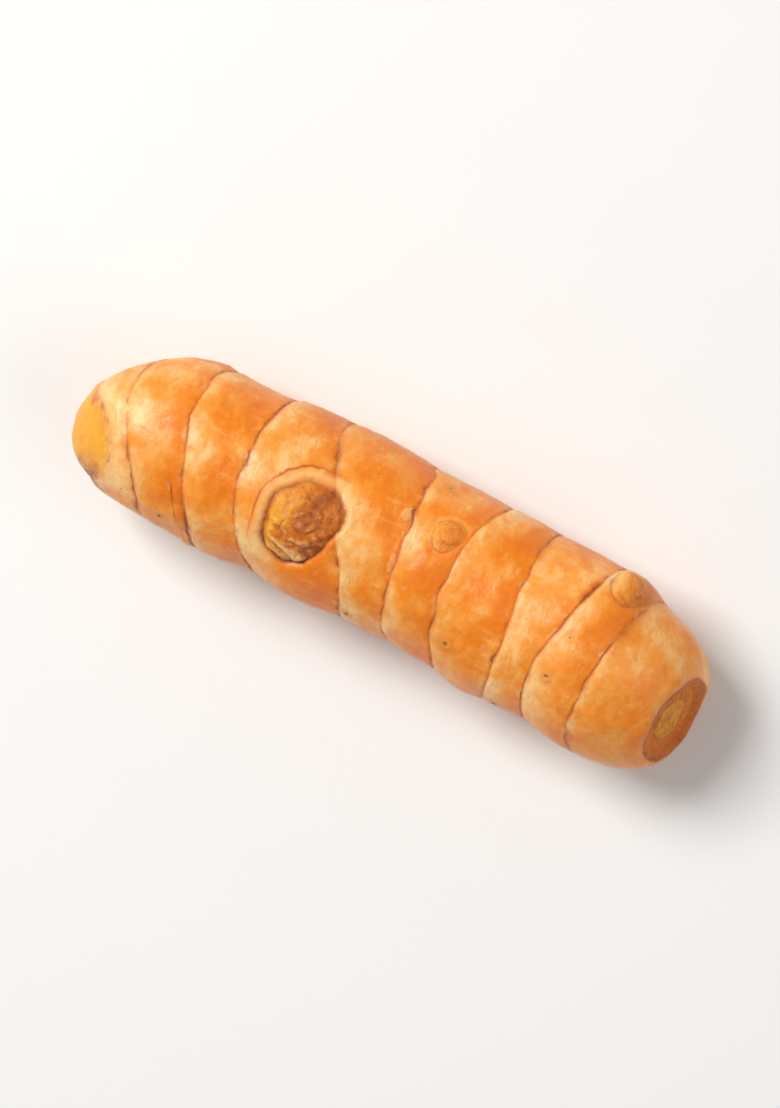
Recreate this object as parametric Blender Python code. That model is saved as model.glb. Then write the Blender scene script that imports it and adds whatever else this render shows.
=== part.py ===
"""A fresh turmeric finger, lying on its belly: one grown piece, so one solid.

Lengths are in metres. Two numbers place a point of the skin:
    walk  the way along the skin from the growing tip, over the side and in over the snapped base
    turn  the angle round the spine, 0 on top and positive towards +Y
The skin is laid out flat in those two numbers, given a round patch at each eye, wrapped round the
spine, and then raised and sunk by formula into rings, eyes and the snapped base.
"""

import math
from collections import namedtuple

import bmesh
import bpy
import numpy as np

MM = 0.001

# The whole finger
LENGTH = 72.0 * MM
RADIUS = 9.6 * MM
HEIGHT_OVER_WIDTH = 0.94
TIP_TAPER = 14.0 * MM
TIP_POWER = 1.8
BASE_TAPER = 11.0 * MM
BASE_POWER = 2.2
FACE_RADIUS = 4.6 * MM

# The spine: the tip swerves and droops, the base half bends, and both ends rise off the ground
TIP_SWERVE = 4.4 * MM
SWERVE_POWER = 1.4
TIP_DROOP = 2.6 * MM
DROOP_REACH = 17.0 * MM
DROOP_POWER = 1.8
BEND_START = 28.0 * MM
BASE_BEND = 5.2 * MM
REST_STATION = 37.0 * MM
REST_HEIGHT = 8.75 * MM
ARCH = 2.3 * MM

# Rings, tip to base. A leaning ring's top or +Y side lies nearer the tip, by that share of its rise
# or reach. Its wave is a two-humped stray from a plane cut, with its phase in degrees.
Ring = namedtuple("Ring", "station lean_top lean_side depth wave phase")
RINGS = (
    Ring(9.2 * MM, 0.26, 0.13, 0.85, 1.15 * MM, 203),
    Ring(15.3 * MM, 0.21, 0.22, 1.00, 0.60 * MM, 214),
    Ring(22.3 * MM, 0.25, 0.20, 1.10, 0.65 * MM, 296),
    Ring(32.1 * MM, 0.19, 0.38, 1.00, 1.00 * MM, 137),
    Ring(39.6 * MM, 0.12, 0.22, 0.90, 0.55 * MM, 20),
    Ring(46.2 * MM, 0.10, 0.06, 1.00, 0.70 * MM, 260),
    Ring(53.0 * MM, 0.06, 0.10, 0.85, 0.50 * MM, 150),
    Ring(59.2 * MM, 0.14, 0.02, 1.00, 0.55 * MM, 330),
    Ring(65.4 * MM, 0.26, 0.08, 0.80, 0.40 * MM, 60),
)
GROOVE_DEPTH = 0.34 * MM
GROOVE_WIDTH = 0.30 * MM
LIP_HEIGHT = 0.20 * MM
LIP_WIDTH = 0.60 * MM
LIP_BEHIND = 0.55 * MM
BARREL_CROWN = 0.25 * MM

# The bud that caps the tip: a point on its edge, the way its edge plane faces, how far it is sunk
CAP_POINT = (4.3 * MM, -2.65 * MM, 15.0 * MM)
CAP_FACING = (0.89, 0.40, -0.22)
CAP_STEP = 0.30 * MM
CAP_BLEND = 0.60 * MM

# Eyes, where a side shoot grew or broke off, with their turn in degrees. The relief is how strong
# the collar, groove and whorls are, and the dome is how far the middle stands out.
Eye = namedtuple("Eye", "station turn radius relief dome sides steps")
EYES = (
    Eye(28.6 * MM, -10, 4.3 * MM, 1.00, 0.60 * MM, 36, 12),
    Eye(44.0 * MM, 24, 1.8 * MM, 0.55, 0.35 * MM, 20, 5),
    Eye(50.9 * MM, -106, 1.8 * MM, 0.60, 0.45 * MM, 20, 5),
    Eye(62.6 * MM, 60, 2.4 * MM, 0.50, 1.10 * MM, 24, 6),
)
EYE_GROOVE = 0.60 * MM
EYE_COLLAR = 0.50 * MM
EYE_UNEVEN = 0.05
EYE_TILT = 0.5
EYE_WHORL = 0.16 * MM
WHORLS = 2.75
WHORL_STRAY = 1.2
PATCH_COLLAR = (1.45, 1.31, 1.21, 1.13, 1.07, 1.02, 0.97, 0.92)
HOLE_SHARE = 1.62

# Swells of the flesh, with their turn and their reach round in degrees
Swell = namedtuple("Swell", "station turn height along around")
SWELLS = (
    Swell(28.5 * MM, -14, 0.60 * MM, 7.0 * MM, 50),
    Swell(27.5 * MM, -95, 0.45 * MM, 4.0 * MM, 50),
    Swell(21.5 * MM, -100, -0.45 * MM, 3.0 * MM, 60),
    Swell(19.5 * MM, 90, -0.55 * MM, 3.5 * MM, 60),
    Swell(42.5 * MM, 85, -0.60 * MM, 6.0 * MM, 60),
    Swell(44.5 * MM, 22, 0.45 * MM, 3.5 * MM, 40),
    Swell(50.5 * MM, -106, 0.75 * MM, 4.0 * MM, 45),
    Swell(61.0 * MM, 60, 1.20 * MM, 4.5 * MM, 45),
    Swell(60.0 * MM, -80, -0.50 * MM, 6.0 * MM, 60),
    Swell(71.0 * MM, 120, 1.10 * MM, 3.5 * MM, 50),
    Swell(71.5 * MM, -50, -1.00 * MM, 4.0 * MM, 45),
)

# The snapped base: a rim, a hollow inside it, and the torn stump of the core
RIM_RADIUS = 4.6 * MM
RIM_HEIGHT = 0.35 * MM
RIM_WIDTH = 0.55 * MM
HOLLOW_DEPTH = 0.50 * MM
CORE_RADIUS = 2.5 * MM
CORE_HEIGHT = 0.30 * MM
CORE_WIDTH = 0.50 * MM
TEARS = ((2, 0.5), (3, 2.2), (5, 4.0))

# How finely the skin is divided
ROUND = 46
WIDEST_STEP = 1.9 * MM
TIP_STEPS = [0.12 * MM, 0.42 * MM, 0.90 * MM, 1.55 * MM, 2.30 * MM, 3.15 * MM, 4.05 * MM, 5.00 * MM]
RING_STEPS = (-1.10 * MM, -0.42 * MM, -0.08 * MM, 0.28 * MM, 0.85 * MM)
RIM_STEPS = (-1.60 * MM, -0.90 * MM, -0.40 * MM, -0.12 * MM)
FACE_STEPS = 8
WELD = 0.001 * MM

SKIN_COLOUR = (0.87, 0.30, 0.04, 1.0)
SKIN_ROUGHNESS = 0.48


def bell(distance, reach):
    """A smooth hump: 1 at no distance, under 0.02 at twice the reach."""
    return np.exp(-((distance / reach) ** 2))


def rise_over(value, blend):
    """A smooth step: 0 well below zero, 1 well above it."""
    return 1 / (1 + np.exp(-np.clip(4 * value / blend, -60, 60)))


def angle_from(turn, other):
    """The shortest angle from one turn to another, signed."""
    return (turn - other + math.pi) % (2 * math.pi) - math.pi


def along_rings(station, values):
    """One value for each ring, read between the rings in proportion."""
    return np.interp(station, [ring.station for ring in RINGS], values)


def spine(station):
    """The middle of the finger at each station."""
    swerve = TIP_SWERVE * np.clip(1 - station / TIP_TAPER, 0, None) ** SWERVE_POWER
    droop = TIP_DROOP * np.clip(1 - station / DROOP_REACH, 0, None) ** DROOP_POWER
    bend = BASE_BEND * np.clip((station - BEND_START) / (LENGTH - BEND_START), 0, None) ** 2
    arch = ARCH * ((station - REST_STATION) / (LENGTH / 2)) ** 2
    return np.stack([station, -swerve - bend, REST_HEIGHT + arch - droop], axis=-1)


def spine_frame(station):
    """Unit vectors at each station: along the spine, up from it, and sideways towards +Y."""
    step = 0.01 * MM
    along = spine(station + step) - spine(station - step)
    along /= np.linalg.norm(along, axis=-1, keepdims=True)
    side = np.cross([0.0, 0.0, 1.0], along)
    side /= np.linalg.norm(side, axis=-1, keepdims=True)
    return along, np.cross(along, side), side


def girth(station):
    """The radius before rings and swells: a bullet-shaped tip, an even middle, a blunt base."""
    to_tip = np.clip(1 - station / TIP_TAPER, 0, 1)
    to_base = np.clip(1 - (LENGTH - station) / BASE_TAPER, 0, 1)
    base = np.sqrt(1 - to_base**BASE_POWER)
    return (FACE_RADIUS + (RADIUS - FACE_RADIUS) * base) * np.sqrt(1 - to_tip**TIP_POWER)


def swelling(station, turn):
    """How far the flesh stands out over its even girth."""
    total = np.zeros_like(station)
    for swell in SWELLS:
        along = bell(station - swell.station, swell.along)
        around = bell(angle_from(turn, math.radians(swell.turn)), math.radians(swell.around))
        total += swell.height * along * around
    return total * girth(station) / RADIUS


def ring_wave(station, turn):
    """How far a ring strays along the finger from a plane cut."""
    sine = along_rings(station, [ring.wave * math.cos(math.radians(ring.phase)) for ring in RINGS])
    cosine = along_rings(station, [ring.wave * math.sin(math.radians(ring.phase)) for ring in RINGS])
    near_base = np.clip((LENGTH - station) / (LENGTH - RINGS[-1].station), 0, 1)
    return near_base * (sine * np.sin(2 * turn) + cosine * np.cos(2 * turn))


def form(walk, turn):
    """Points of the plain form: leaning cross-sections round the spine, closed over the base."""
    station = np.clip(walk, 0, LENGTH)
    outward = 1 - np.clip((walk - LENGTH) / FACE_RADIUS, 0, 1)
    radius = (girth(station) + swelling(station, turn)) * outward
    along, up, side = spine_frame(station)
    rise = radius * np.cos(turn)
    reach = radius * np.sin(turn)
    slide = ring_wave(station, turn) * outward
    slide -= along_rings(station, [ring.lean_top for ring in RINGS]) * rise
    slide -= along_rings(station, [ring.lean_side for ring in RINGS]) * reach
    slide *= np.clip(station / RINGS[0].station, 0, 1)
    rise = rise * HEIGHT_OVER_WIDTH
    return spine(station) + along * slide[..., None] + up * rise[..., None] + side * reach[..., None]


class EyePlane:
    """The plane that touches the form at an eye, with axes towards the base and sideways."""

    def __init__(self, eye):
        self.spot = np.array([[eye.station, math.radians(eye.turn)]])
        near = form(eye.station + np.array([0, 1, 0]) * 0.1 * MM, self.spot[0, 1] + np.array([0, 0, 0.01]))
        self.centre = near[0]
        self.out = np.cross(near[1] - near[0], near[2] - near[0])
        self.out /= np.linalg.norm(self.out)
        self.to_base = near[1] - near[0]
        self.to_base /= np.linalg.norm(self.to_base)
        self.sideways = np.cross(self.out, self.to_base)

    def height(self, points):
        return (points - self.centre) @ self.out

    def offsets(self, points):
        away = points - self.centre
        return np.stack([away @ self.to_base, away @ self.sideways], axis=-1)

    def spots(self, offsets):
        """The walk and turn of the skin under each offset in the plane."""
        scale = np.array([1.0, 1 / RADIUS])
        spots = self.spot + offsets * scale
        for _ in range(12):
            missed = offsets - self.offsets(form(spots[:, 0], spots[:, 1]))
            spots = spots + missed * scale
        return spots


def ring_relief(walk, turn):
    """Each ring: a groove, a raised lip on its base side, and a crown between rings."""
    relief = np.zeros_like(walk)
    for ring in RINGS:
        past = walk - ring.station
        depth = ring.depth * (0.78 + 0.22 * np.cos(2 * turn + math.radians(ring.phase)))
        relief -= GROOVE_DEPTH * depth * bell(past, GROOVE_WIDTH)
        relief += LIP_HEIGHT * depth * bell(past - LIP_BEHIND, LIP_WIDTH)
    for before, after in zip(RINGS, RINGS[1:]):
        share = np.clip((walk - before.station) / (after.station - before.station), 0, 1)
        relief += BARREL_CROWN * np.sin(math.pi * share)
    return relief


def eye_edge(eye, heading):
    """An eye's own radius in each heading: round, but not quite."""
    return eye.radius * (1 + EYE_UNEVEN * (np.cos(2 * heading + eye.turn) + 0.5 * np.sin(3 * heading)))


def eye_relief(eye, off_centre, heading):
    """A collar, a groove, and a dome of whorls that wind in, fullest on its tip side."""
    radius = eye_edge(eye, heading)
    size = eye.relief * eye.radius / EYES[0].radius
    inside = rise_over(radius - off_centre, 0.3 * radius)
    stray = heading - WHORL_STRAY * np.sin(2 * heading + 1)
    whorl = np.cos(2 * math.pi * WHORLS * off_centre / radius - stray)
    relief = EYE_COLLAR * size * bell(off_centre - 1.17 * radius, 0.15 * radius)
    relief -= EYE_GROOVE * size * bell(off_centre - radius, 0.10 * radius)
    tilt = 1 - EYE_TILT * np.cos(heading) * off_centre / radius
    relief += inside * eye.dome * tilt * (1 - (off_centre / radius) ** 2)
    return relief + inside * EYE_WHORL * size * whorl


def base_relief(walk, turn):
    """The snapped base: a rim, a hollow inside it, and the torn stump of the core."""
    off_centre = LENGTH + FACE_RADIUS - walk
    torn = 0.6 + sum(np.sin(lobes * turn + phase) for lobes, phase in TEARS) / len(TEARS)
    inside = rise_over(RIM_RADIUS - RIM_WIDTH - off_centre, RIM_WIDTH)
    rim = RIM_HEIGHT * bell(off_centre - RIM_RADIUS, RIM_WIDTH)
    core = CORE_HEIGHT * bell(off_centre - CORE_RADIUS, CORE_WIDTH)
    return (rim + core) * torn - HOLLOW_DEPTH * inside


def cap_relief(points):
    """The bud on the tip lies a little below the skin round it."""
    facing = np.array(CAP_FACING) / np.linalg.norm(CAP_FACING)
    return -CAP_STEP * rise_over((CAP_POINT - points) @ facing, CAP_BLEND)


def relief(walk, turn, points):
    """How far the skin stands out from the plain form, or sinks in."""
    rings = ring_relief(walk, turn)
    eyes = np.zeros_like(walk)
    for eye in EYES:
        plane = EyePlane(eye)
        along, across = plane.offsets(points).T
        off_centre = np.hypot(along, across)
        near = (plane.height(points) > -eye.radius) & (off_centre < 2 * eye.radius)
        eyes += np.where(near, eye_relief(eye, off_centre, np.arctan2(across, along)), 0)
        rings *= 1 - np.where(near, rise_over(1.25 * eye.radius - off_centre, 0.4 * eye.radius), 0)
    return rings + eyes + base_relief(walk, turn) + cap_relief(points)


def walk_steps():
    """Where the skin is divided along its walk: close at both ends and at each ring."""
    steps = {0.0, *TIP_STEPS, LENGTH, *(LENGTH + step for step in RIM_STEPS)}
    steps |= {ring.station + step for ring in RINGS for step in RING_STEPS}
    steps |= {LENGTH + FACE_RADIUS * (k + 1) / FACE_STEPS for k in range(FACE_STEPS)}
    steps = sorted(steps)
    filled = []
    for here, there in zip(steps, steps[1:]):
        parts = math.ceil((there - here) / WIDEST_STEP)
        filled += [here + (there - here) * k / parts for k in range(parts)]
    return filled + [steps[-1]]


def flat_skin(mesh):
    """The skin laid out flat, x the walk and y the turn's arc, in a grid from seam to seam."""
    arcs = [math.pi * RADIUS * (2 * k / ROUND - 1) for k in range(ROUND + 1)]
    rows = [[mesh.verts.new((walk, arc, 0)) for arc in arcs] for walk in walk_steps()]
    for row, following in zip(rows, rows[1:]):
        for k in range(ROUND):
            mesh.faces.new((row[k], following[k], following[k + 1], row[k + 1]))


def flat_spots(verts):
    """The walk and turn of each vertex of the flat skin."""
    flat = np.array([vert.co for vert in verts])
    return flat[:, 0], flat[:, 1] / RADIUS


def cut_patch(mesh, eye):
    """Puts a patch of rings round an eye in place of the grid there."""
    plane = EyePlane(eye)
    points = form(*flat_spots(mesh.verts))
    off_centre = np.linalg.norm(plane.offsets(points), axis=1)
    within = (off_centre < HOLE_SHARE * eye.radius) & (plane.height(points) > -eye.radius)
    hole = [vert for vert, inside in zip(mesh.verts, within) if inside]
    border = {edge for vert in hole for face in vert.link_faces for edge in face.edges}
    bmesh.ops.delete(mesh, geom=hole, context="VERTS")
    border = [edge for edge in border if edge.is_valid]

    shares = PATCH_COLLAR + tuple(0.9 * (1 - k / eye.steps) for k in range(1, eye.steps))
    headings = np.arange(eye.sides) * 2 * math.pi / eye.sides
    edge = eye_edge(eye, headings)[:, None] * np.stack([np.cos(headings), np.sin(headings)], axis=-1)
    loops = []
    for share in shares:
        loops.append([mesh.verts.new((walk, turn * RADIUS, 0)) for walk, turn in plane.spots(share * edge)])
    middle = mesh.verts.new((eye.station, math.radians(eye.turn) * RADIUS, 0))
    for outer, inner in zip(loops, loops[1:]):
        for k in range(eye.sides):
            following = (k + 1) % eye.sides
            mesh.faces.new((outer[k], outer[following], inner[following], inner[k]))
    for k in range(eye.sides):
        mesh.faces.new((loops[-1][k], loops[-1][(k + 1) % eye.sides], middle))
    rim = [mesh.edges.get((loops[0][k - 1], loops[0][k])) for k in range(eye.sides)]
    bmesh.ops.triangle_fill(mesh, use_beauty=True, edges=border + rim, normal=(0, 0, 1))


def wrap(mesh):
    """Wraps the flat skin round the spine, closes its seam and ends, and raises the relief."""
    walk, turn = flat_spots(mesh.verts)
    walk_layer = mesh.verts.layers.float.new("walk")
    turn_layer = mesh.verts.layers.float.new("turn")
    for k, (vert, point) in enumerate(zip(mesh.verts, form(walk, turn))):
        vert[walk_layer] = walk[k]
        vert[turn_layer] = turn[k]
        vert.co = point
    bmesh.ops.remove_doubles(mesh, verts=mesh.verts, dist=WELD)
    bmesh.ops.recalc_face_normals(mesh, faces=mesh.faces)
    mesh.normal_update()
    walk = np.array([vert[walk_layer] for vert in mesh.verts])
    turn = np.array([vert[turn_layer] for vert in mesh.verts])
    points = np.array([vert.co for vert in mesh.verts])
    for vert, height in zip(mesh.verts, relief(walk, turn, points)):
        vert.co += vert.normal * float(height)


def rest_on_belly(mesh):
    """Presses the belly flat at z = 0 and puts the origin under the middle of the bounding box."""
    for vert in mesh.verts:
        vert.co.z = max(vert.co.z, 0.0)
    points = np.array([vert.co for vert in mesh.verts])
    middle = (points.min(axis=0) + points.max(axis=0)) / 2
    bmesh.ops.translate(mesh, verts=mesh.verts, vec=(-middle[0], -middle[1], 0))


def skin_material():
    material = bpy.data.materials.new("turmeric_skin")
    material.use_nodes = True
    shader = material.node_tree.nodes["Principled BSDF"]
    shader.inputs["Base Color"].default_value = SKIN_COLOUR
    shader.inputs["Roughness"].default_value = SKIN_ROUGHNESS
    shader.inputs["Metallic"].default_value = 0.0
    return material


def turmeric_root():
    mesh = bmesh.new()
    flat_skin(mesh)
    for eye in EYES:
        cut_patch(mesh, eye)
    wrap(mesh)
    rest_on_belly(mesh)
    data = bpy.data.meshes.new("turmeric_root")
    mesh.to_mesh(data)
    mesh.free()
    data.shade_smooth()
    data.materials.append(skin_material())
    root = bpy.data.objects.new("turmeric_root", data)
    bpy.context.scene.collection.objects.link(root)


def main():
    for existing in list(bpy.data.objects):
        bpy.data.objects.remove(existing)
    turmeric_root()


main()
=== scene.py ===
"""A fresh turmeric finger: its ringed papery skin, shoot scars and snapped base.

The skin is one Geometry Nodes form. A flat sheet is laid out in two numbers, the walk along the skin
from the growing tip and the turn round the spine, and is then wrapped round the spine, raised and
sunk into rings, eyes and the snapped base. The marks on it are worked out by the same functions in
the form and in the material, so that the colour of a crease lies in the crease. Lengths are in metres.
"""

import math
from collections import namedtuple

import bpy
from mathutils import Matrix, Vector


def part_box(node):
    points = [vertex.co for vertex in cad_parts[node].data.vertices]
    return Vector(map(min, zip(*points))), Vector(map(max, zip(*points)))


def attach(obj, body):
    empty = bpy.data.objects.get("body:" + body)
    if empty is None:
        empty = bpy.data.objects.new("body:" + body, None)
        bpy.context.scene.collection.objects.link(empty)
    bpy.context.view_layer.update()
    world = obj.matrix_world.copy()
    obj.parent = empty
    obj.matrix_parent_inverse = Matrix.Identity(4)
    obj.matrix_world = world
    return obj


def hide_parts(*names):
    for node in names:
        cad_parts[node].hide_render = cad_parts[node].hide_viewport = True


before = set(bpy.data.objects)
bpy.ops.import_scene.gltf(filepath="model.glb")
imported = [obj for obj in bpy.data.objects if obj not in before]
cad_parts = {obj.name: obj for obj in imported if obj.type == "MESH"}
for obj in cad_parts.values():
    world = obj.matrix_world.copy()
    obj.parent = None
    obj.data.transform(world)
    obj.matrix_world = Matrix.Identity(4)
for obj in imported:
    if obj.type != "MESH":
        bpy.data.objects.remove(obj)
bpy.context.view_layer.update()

MM = 0.001

# The whole finger, as the solid has it
LENGTH = 72.0 * MM
RADIUS = 9.6 * MM
HEIGHT_OVER_WIDTH = 0.94
TIP_TAPER = 14.0 * MM
TIP_POWER = 1.8
BASE_TAPER = 11.0 * MM
BASE_POWER = 2.2
FACE_RADIUS = 4.6 * MM

# The spine: the tip swerves and droops, the base half bends, and both ends rise off the ground
TIP_SWERVE = 4.4 * MM
SWERVE_POWER = 1.4
TIP_DROOP = 2.6 * MM
DROOP_REACH = 17.0 * MM
DROOP_POWER = 1.8
BEND_START = 28.0 * MM
BASE_BEND = 5.2 * MM
REST_STATION = 37.0 * MM
REST_HEIGHT = 8.75 * MM
ARCH = 2.3 * MM

# Rings, tip to base. A leaning ring's top or +Y side lies nearer the tip, by that share of its rise
# or reach. Its wave is a two-humped stray from a plane cut, with its phase in degrees. That wave also
# makes its depth uneven, but for the even share.
Ring = namedtuple("Ring", "station lean_top lean_side depth wave phase")
RINGS = (
    Ring(9.2 * MM, 0.26, 0.13, 0.85, 1.15 * MM, 203),
    Ring(15.3 * MM, 0.21, 0.22, 1.00, 0.60 * MM, 214),
    Ring(22.3 * MM, 0.25, 0.20, 1.10, 0.65 * MM, 296),
    Ring(32.1 * MM, 0.19, 0.38, 1.00, 1.00 * MM, 137),
    Ring(39.6 * MM, 0.12, 0.22, 0.90, 0.55 * MM, 20),
    Ring(46.2 * MM, 0.10, 0.06, 1.00, 0.70 * MM, 260),
    Ring(53.0 * MM, 0.06, 0.10, 0.85, 0.50 * MM, 150),
    Ring(59.2 * MM, 0.14, 0.02, 1.00, 0.55 * MM, 330),
    Ring(65.4 * MM, 0.26, 0.08, 0.80, 0.40 * MM, 60),
)
RING_EVEN_SHARE = 0.78
USUAL_SEGMENT = 7.0 * MM
BARREL_CROWN = 0.22 * MM

# A ring's crease, the torn flakes of the lost scale on its tip side, and the swelling behind it
CREASE_DEPTH = 0.17 * MM
CREASE_WIDTH = 0.20 * MM
EDGE_HEIGHT = 0.10 * MM
EDGE_REACH = 0.55 * MM
FLAKE_HEIGHT = 0.045 * MM
FLAKE_REACH = 0.80 * MM
SWELL_HEIGHT = 0.09 * MM
SWELL_WIDTH = 0.80 * MM
SWELL_BEHIND = 0.85 * MM
RING_FRAY = 0.09 * MM
FLAKE_STEP = 0.10 * MM

# Where the second ring is darkest
DARK_SPOT = (15.9 * MM, -4.8 * MM, 16.0 * MM)
DARK_SPOT_REACH = 3.0 * MM

# The bud that caps the tip: a point on its edge, the way its edge plane faces, how far it is sunk, how
# its edge bulges towards the base, and the middle of the brown blemish under it
CAP_POINT = (4.3 * MM, -2.65 * MM, 15.0 * MM)
CAP_FACING = (0.89, 0.40, -0.22)
CAP_STEP = 0.30 * MM
CAP_BLEND = 1.00 * MM
CAP_CURVE = 0.055 / MM
CAP_BULGE = 1.3 * MM
BLEMISH = (3.6 * MM, -7.9 * MM, 11.4 * MM)
BLEMISH_REACH = 2.3 * MM

# Eyes, where a side shoot broke off or still sleeps, with their turn in degrees. The layers of a
# scar wind in, and those of a sleeping bud lie one inside another. A collar and the edge of a fold of
# skin run round them, at these shares of their radius.
Eye = namedtuple("Eye", "station turn radius relief dome winds")
EYES = (
    Eye(28.6 * MM, -10, 4.3 * MM, 1.00, 0.60 * MM, 1),
    Eye(44.0 * MM, 24, 1.8 * MM, 0.55, 0.35 * MM, 0),
    Eye(50.9 * MM, -106, 1.8 * MM, 0.60, 0.45 * MM, 0),
    Eye(62.6 * MM, 60, 2.4 * MM, 0.50, 1.10 * MM, 0),
)
EYE_GROOVE = 0.48 * MM
EYE_COLLAR = 0.13 * MM
EYE_COLLAR_AT = 1.18
EYE_FOLD_AT = 1.36
EYE_UNEVEN = 0.12
EYE_TILT = 0.5
EYE_RAGGED = 0.05
LAYER_WIDTH = 1.25 * MM
LAYER_HEIGHT = 0.30 * MM
FAR_FROM_EYES = 4.0
EYE_REACH = 2.0
SMALL_STEP = 0.1 * MM
SMALL_TURN = 0.01

# Dots where a hair root grew, with their turn in degrees
RootDot = namedtuple("RootDot", "station turn radius")
ROOT_DOTS = (
    RootDot(10.9 * MM, -52, 0.32 * MM),
    RootDot(17.0 * MM, 118, 0.45 * MM),
    RootDot(23.9 * MM, -118, 0.50 * MM),
    RootDot(24.4 * MM, 152, 0.60 * MM),
    RootDot(33.6 * MM, -62, 0.38 * MM),
    RootDot(34.0 * MM, 96, 0.55 * MM),
    RootDot(41.2 * MM, -150, 0.55 * MM),
    RootDot(41.4 * MM, 62, 0.34 * MM),
    RootDot(47.9 * MM, -40, 0.42 * MM),
    RootDot(48.2 * MM, 128, 0.60 * MM),
    RootDot(54.8 * MM, -78, 0.50 * MM),
    RootDot(61.2 * MM, -20, 0.36 * MM),
    RootDot(61.5 * MM, -140, 0.60 * MM),
    RootDot(67.2 * MM, 108, 0.50 * MM),
)
DOT_RIM = 0.12 * MM
DOT_PIT = 0.22 * MM
DOT_REACH = 4.0

# Swells of the flesh, with their turn and their reach round in degrees
Swell = namedtuple("Swell", "station turn height along around")
SWELLS = (
    Swell(28.5 * MM, -14, 0.60 * MM, 7.0 * MM, 50),
    Swell(27.5 * MM, -95, 0.45 * MM, 4.0 * MM, 50),
    Swell(21.5 * MM, -100, -0.45 * MM, 3.0 * MM, 60),
    Swell(19.5 * MM, 90, -0.55 * MM, 3.5 * MM, 60),
    Swell(42.5 * MM, 85, -0.60 * MM, 6.0 * MM, 60),
    Swell(44.5 * MM, 22, 0.45 * MM, 3.5 * MM, 40),
    Swell(50.5 * MM, -106, 0.75 * MM, 4.0 * MM, 45),
    Swell(61.0 * MM, 60, 1.20 * MM, 4.5 * MM, 45),
    Swell(60.0 * MM, -80, -0.50 * MM, 6.0 * MM, 60),
    Swell(71.0 * MM, 120, 1.10 * MM, 3.5 * MM, 50),
    Swell(71.5 * MM, -50, -1.00 * MM, 4.0 * MM, 45),
)

# The snapped base: a rim, a hollow inside it, and the torn stump of the core
RIM_RADIUS = 4.6 * MM
RIM_HEIGHT = 0.35 * MM
RIM_WIDTH = 0.55 * MM
HOLLOW_DEPTH = 0.50 * MM
CORE_RADIUS = 2.5 * MM
CORE_HEIGHT = 0.30 * MM
CORE_WIDTH = 0.50 * MM
TEARS = ((2, 0.5), (3, 2.2), (5, 4.0))
TORN_FLESH = 0.14 * MM
TORN_FLESH_SIZE = 0.9 * MM
SHOULDER_STEEPNESS = 6.0

# How the live skin strays from the drawn form: ring lines wander, and the flesh dimples and wrinkles
RING_WANDER = 0.24 * MM
RING_WANDER_SIZE = 2.6 * MM
ASKEW_TO_BASE = 1.15 * MM
ASKEW_TO_TIP = 1.85 * MM
ASKEW_REACH = 3.5 * MM
DIMPLE_DEPTH = 0.14 * MM
DIMPLE_SIZE = 5.0 * MM
WRINKLE_DEPTH = 0.035 * MM
WRINKLE_SIZE = 1.0 * MM
RAGGED_SIZE = 2.4 * MM
SEED = 7.0

# The sheet that the skin is wrapped from: rows along the walk, columns round the turn
SHEET_ROWS = 410
SHEET_COLUMNS = 238
TIP_ROWS_SHARE = 0.06
TOP_CROWDING = 0.11
RING_CROWDING = 0.50
RING_CROWDING_REACH = 1.2 * MM
WELD = 0.001 * MM

# Colours of the skin and flesh, linear
CREAM = (0.98, 0.64, 0.27)
PALE = (0.95, 0.44, 0.10)
ORANGE = (0.92, 0.275, 0.006)
DEEP = (0.80, 0.170, 0.001)
RUST = (0.52, 0.11, 0.003)
BROWN = (0.29, 0.052, 0.003)
GOLD = (0.86, 0.40, 0.010)
FLESH = (0.84, 0.22, 0.002)

# The skin's patterns, coarse to fine, and how light lies on it and enters the flesh under it
CLOUD_SIZE = 7.0 * MM
PATCH_SIZE = 2.6 * MM
MOTTLE_SIZE = 0.9 * MM
CRINKLE_SIZE = 0.9 * MM
STREAK_SIZE = 0.7 * MM
SPECK_SIZE = 0.65 * MM
CRUMB_SIZE = 0.6 * MM
BUNDLE_SIZE = 0.45 * MM
FRAYED_SIZE = 0.3 * MM
GRAIN_SIZE = 0.22 * MM
ROUGHNESS = 0.39
SHINE = 0.50
GLOW_SHARE = 0.20
GLOW_RADII = (1.0, 0.30, 0.06)
GLOW_SCALE = 1.2 * MM

# The floor and the lights. A light is placed by the picture's right and up and by its height.
FLOOR_HALF = 1.5
FLOOR_COLOUR = (0.87, 0.865, 0.86)
FLOOR_ROUGHNESS = 0.7
SKY_STRENGTH = 0.30
Light = namedtuple("Light", "name across upward height size power tint")
LIGHTS = (
    Light("key", -0.36, 0.34, 0.60, 0.34, 5.7, (1.0, 0.98, 0.95)),
    Light("fill", 0.50, -0.20, 0.50, 0.50, 1.0, (1.0, 1.0, 1.0)),
)

# The photograph's view: how far it looks in from the base's side and from +Y, and its roll
VIEW_FROM_BASE = 4.8
VIEW_FROM_SIDE = 4.6
AXIS_DOWN_TO_RIGHT = 24.5
CAMERA_DISTANCE = 600 * MM
FRAME_WIDTH = 84 * MM
SENSOR = 36.0


def apply_value(operation, plain, *values):
    """Works a function out in Python on numbers, or as a Math node where a value varies."""
    varying = [value for value in values if isinstance(value, Value)]
    if not varying:
        return plain(*values)
    return varying[0].nodes.node("ShaderNodeMath", dict(enumerate(values)), operation=operation)


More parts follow.
